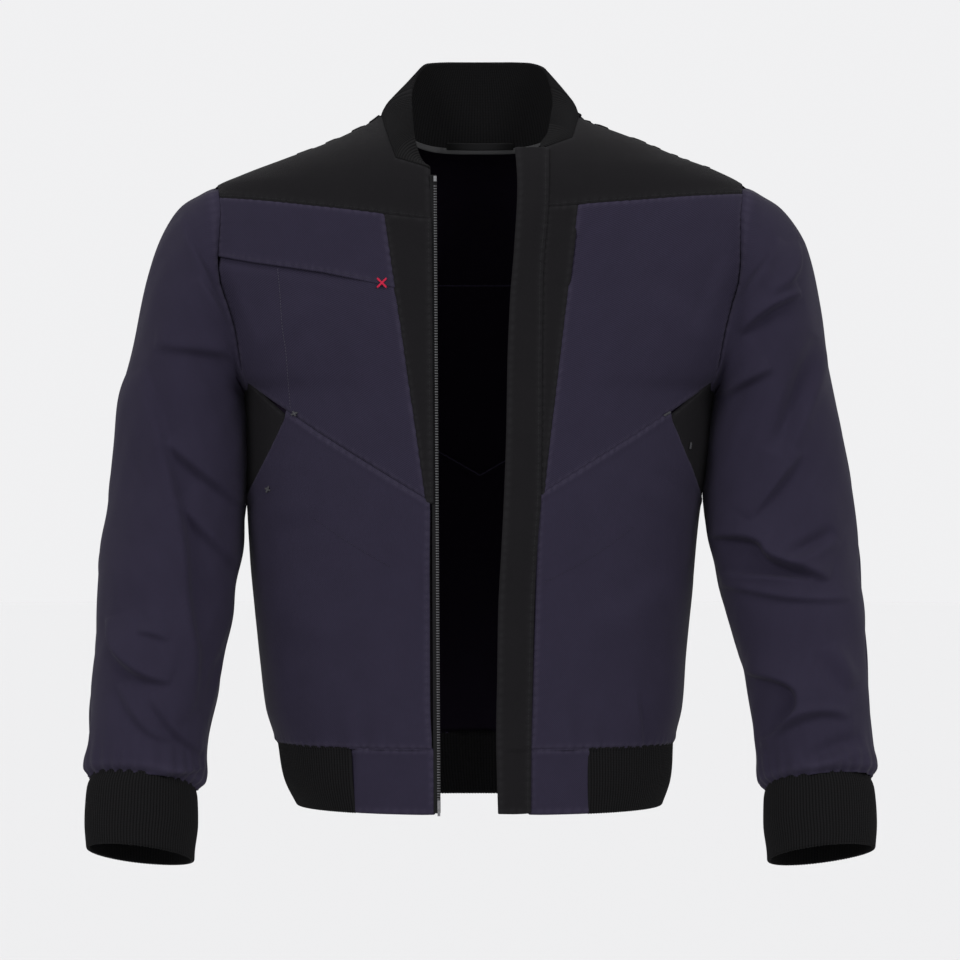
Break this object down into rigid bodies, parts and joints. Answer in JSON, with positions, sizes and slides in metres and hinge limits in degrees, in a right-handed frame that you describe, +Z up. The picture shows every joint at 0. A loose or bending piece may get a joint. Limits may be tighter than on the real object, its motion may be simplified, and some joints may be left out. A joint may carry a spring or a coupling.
{
  "type": "work jacket",
  "caption": "Open-front woven work jacket, hanging as worn, with contrast panels, slant pockets, rib collar, cuffs and hem, and a zip under a storm flap.",
  "frame": {"origin": "centre of the neck seam, where the wearer's shoulders or a hanger hold the jacket up", "axes": "+X is the wearer's left, +Y the wearer's back, +Z up"},
  "size_m": [0.7548, 0.2799, 0.7791],
  "materials": {
    "navy_cloth": "matt woven twill",
    "black_cloth": "matt woven twill",
    "rib_knit": "rib knit",
    "zip_tape": "woven tape",
    "zip_metal": "satin",
    "pale_thread": "stitched thread",
    "red_thread": "stitched thread"
  },
  "bodies": {
    "torso": {"front_yoke_right": "black_cloth", "front_yoke_left": "black_cloth", "chest_panel_right": "navy_cloth", "chest_panel_left": "navy_cloth", "centre_strip_right": "black_cloth", "centre_strip_left": "black_cloth", "lower_front_right": "navy_cloth", "lower_front_left": "navy_cloth", "underarm_gusset_right": "black_cloth", "underarm_gusset_left": "black_cloth", "back_yoke": "black_cloth", "back_upper": "navy_cloth", "back_lower": "navy_cloth", "hem_rib": "rib_knit", "hem_tab_right": "navy_cloth", "hem_tab_left": "navy_cloth", "collar": "rib_knit", "neck_tape": "pale_thread", "hanger_loop": "black_cloth", "facing_right": "black_cloth", "facing_left": "black_cloth", "hand_pocket_bag_right": "black_cloth", "hand_pocket_bag_left": "black_cloth", "chest_pocket_bag_right": "black_cloth", "chest_pocket_bag_left": "black_cloth", "zip_tape_right": "zip_tape", "zip_tape_left": "zip_tape", "zip_teeth_right": "zip_metal", "zip_teeth_left": "zip_metal", "zip_top_stop_right": "zip_metal", "zip_top_stop_left": "zip_metal", "zip_pin": "zip_metal", "zip_box": "zip_metal", "sleeve_head_right": "navy_cloth", "sleeve_head_left": "navy_cloth", "cross_tack": "red_thread", "pen_tack": "pale_thread", "pocket_tack_right": "pale_thread", "pocket_tack_left_top": "pale_thread", "pocket_tack_left_low": "pale_thread"},
    "sleeve_right": {"sleeve_right": "navy_cloth", "cuff_right": "rib_knit"},
    "sleeve_left": {"sleeve_left": "navy_cloth", "cuff_left": "rib_knit"},
    "storm_flap": {"storm_flap": "black_cloth"},
    "zip_slider": {"zip_slider": "zip_metal"},
    "zip_pull": {"zip_pull": "zip_metal"}
  },
  "joints": [
    {"name": "sleeve_right_lift", "type": "hinge", "parent": "torso", "child": "sleeve_right", "pos_m": [-0.3305, -0.002, -0.157], "axis": [0, 1, 0], "range_deg": [0, 30]},
    {"name": "sleeve_left_lift", "type": "hinge", "parent": "torso", "child": "sleeve_left", "pos_m": [0.3305, -0.002, -0.157], "axis": [0, -1, 0], "range_deg": [0, 30]},
    {"name": "storm_flap_open", "type": "hinge", "parent": "torso", "child": "storm_flap", "pos_m": [0.0486, -0.129, -0.6], "axis": [0.0284, 0.0474, 0.9985], "range_deg": [0, 70]},
    {"name": "zip_slider_run", "type": "slide", "parent": "torso", "child": "zip_slider", "axis": [0.0284, 0.0507, 0.9983], "range_m": [0, 0.569]},
    {"name": "zip_pull_swing", "type": "hinge", "parent": "zip_slider", "child": "zip_pull", "pos_m": [0.03312, -0.12899, -0.6161], "axis": [-0.9996, 0, 0.0284], "range_deg": [0, 5]}
  ]
}
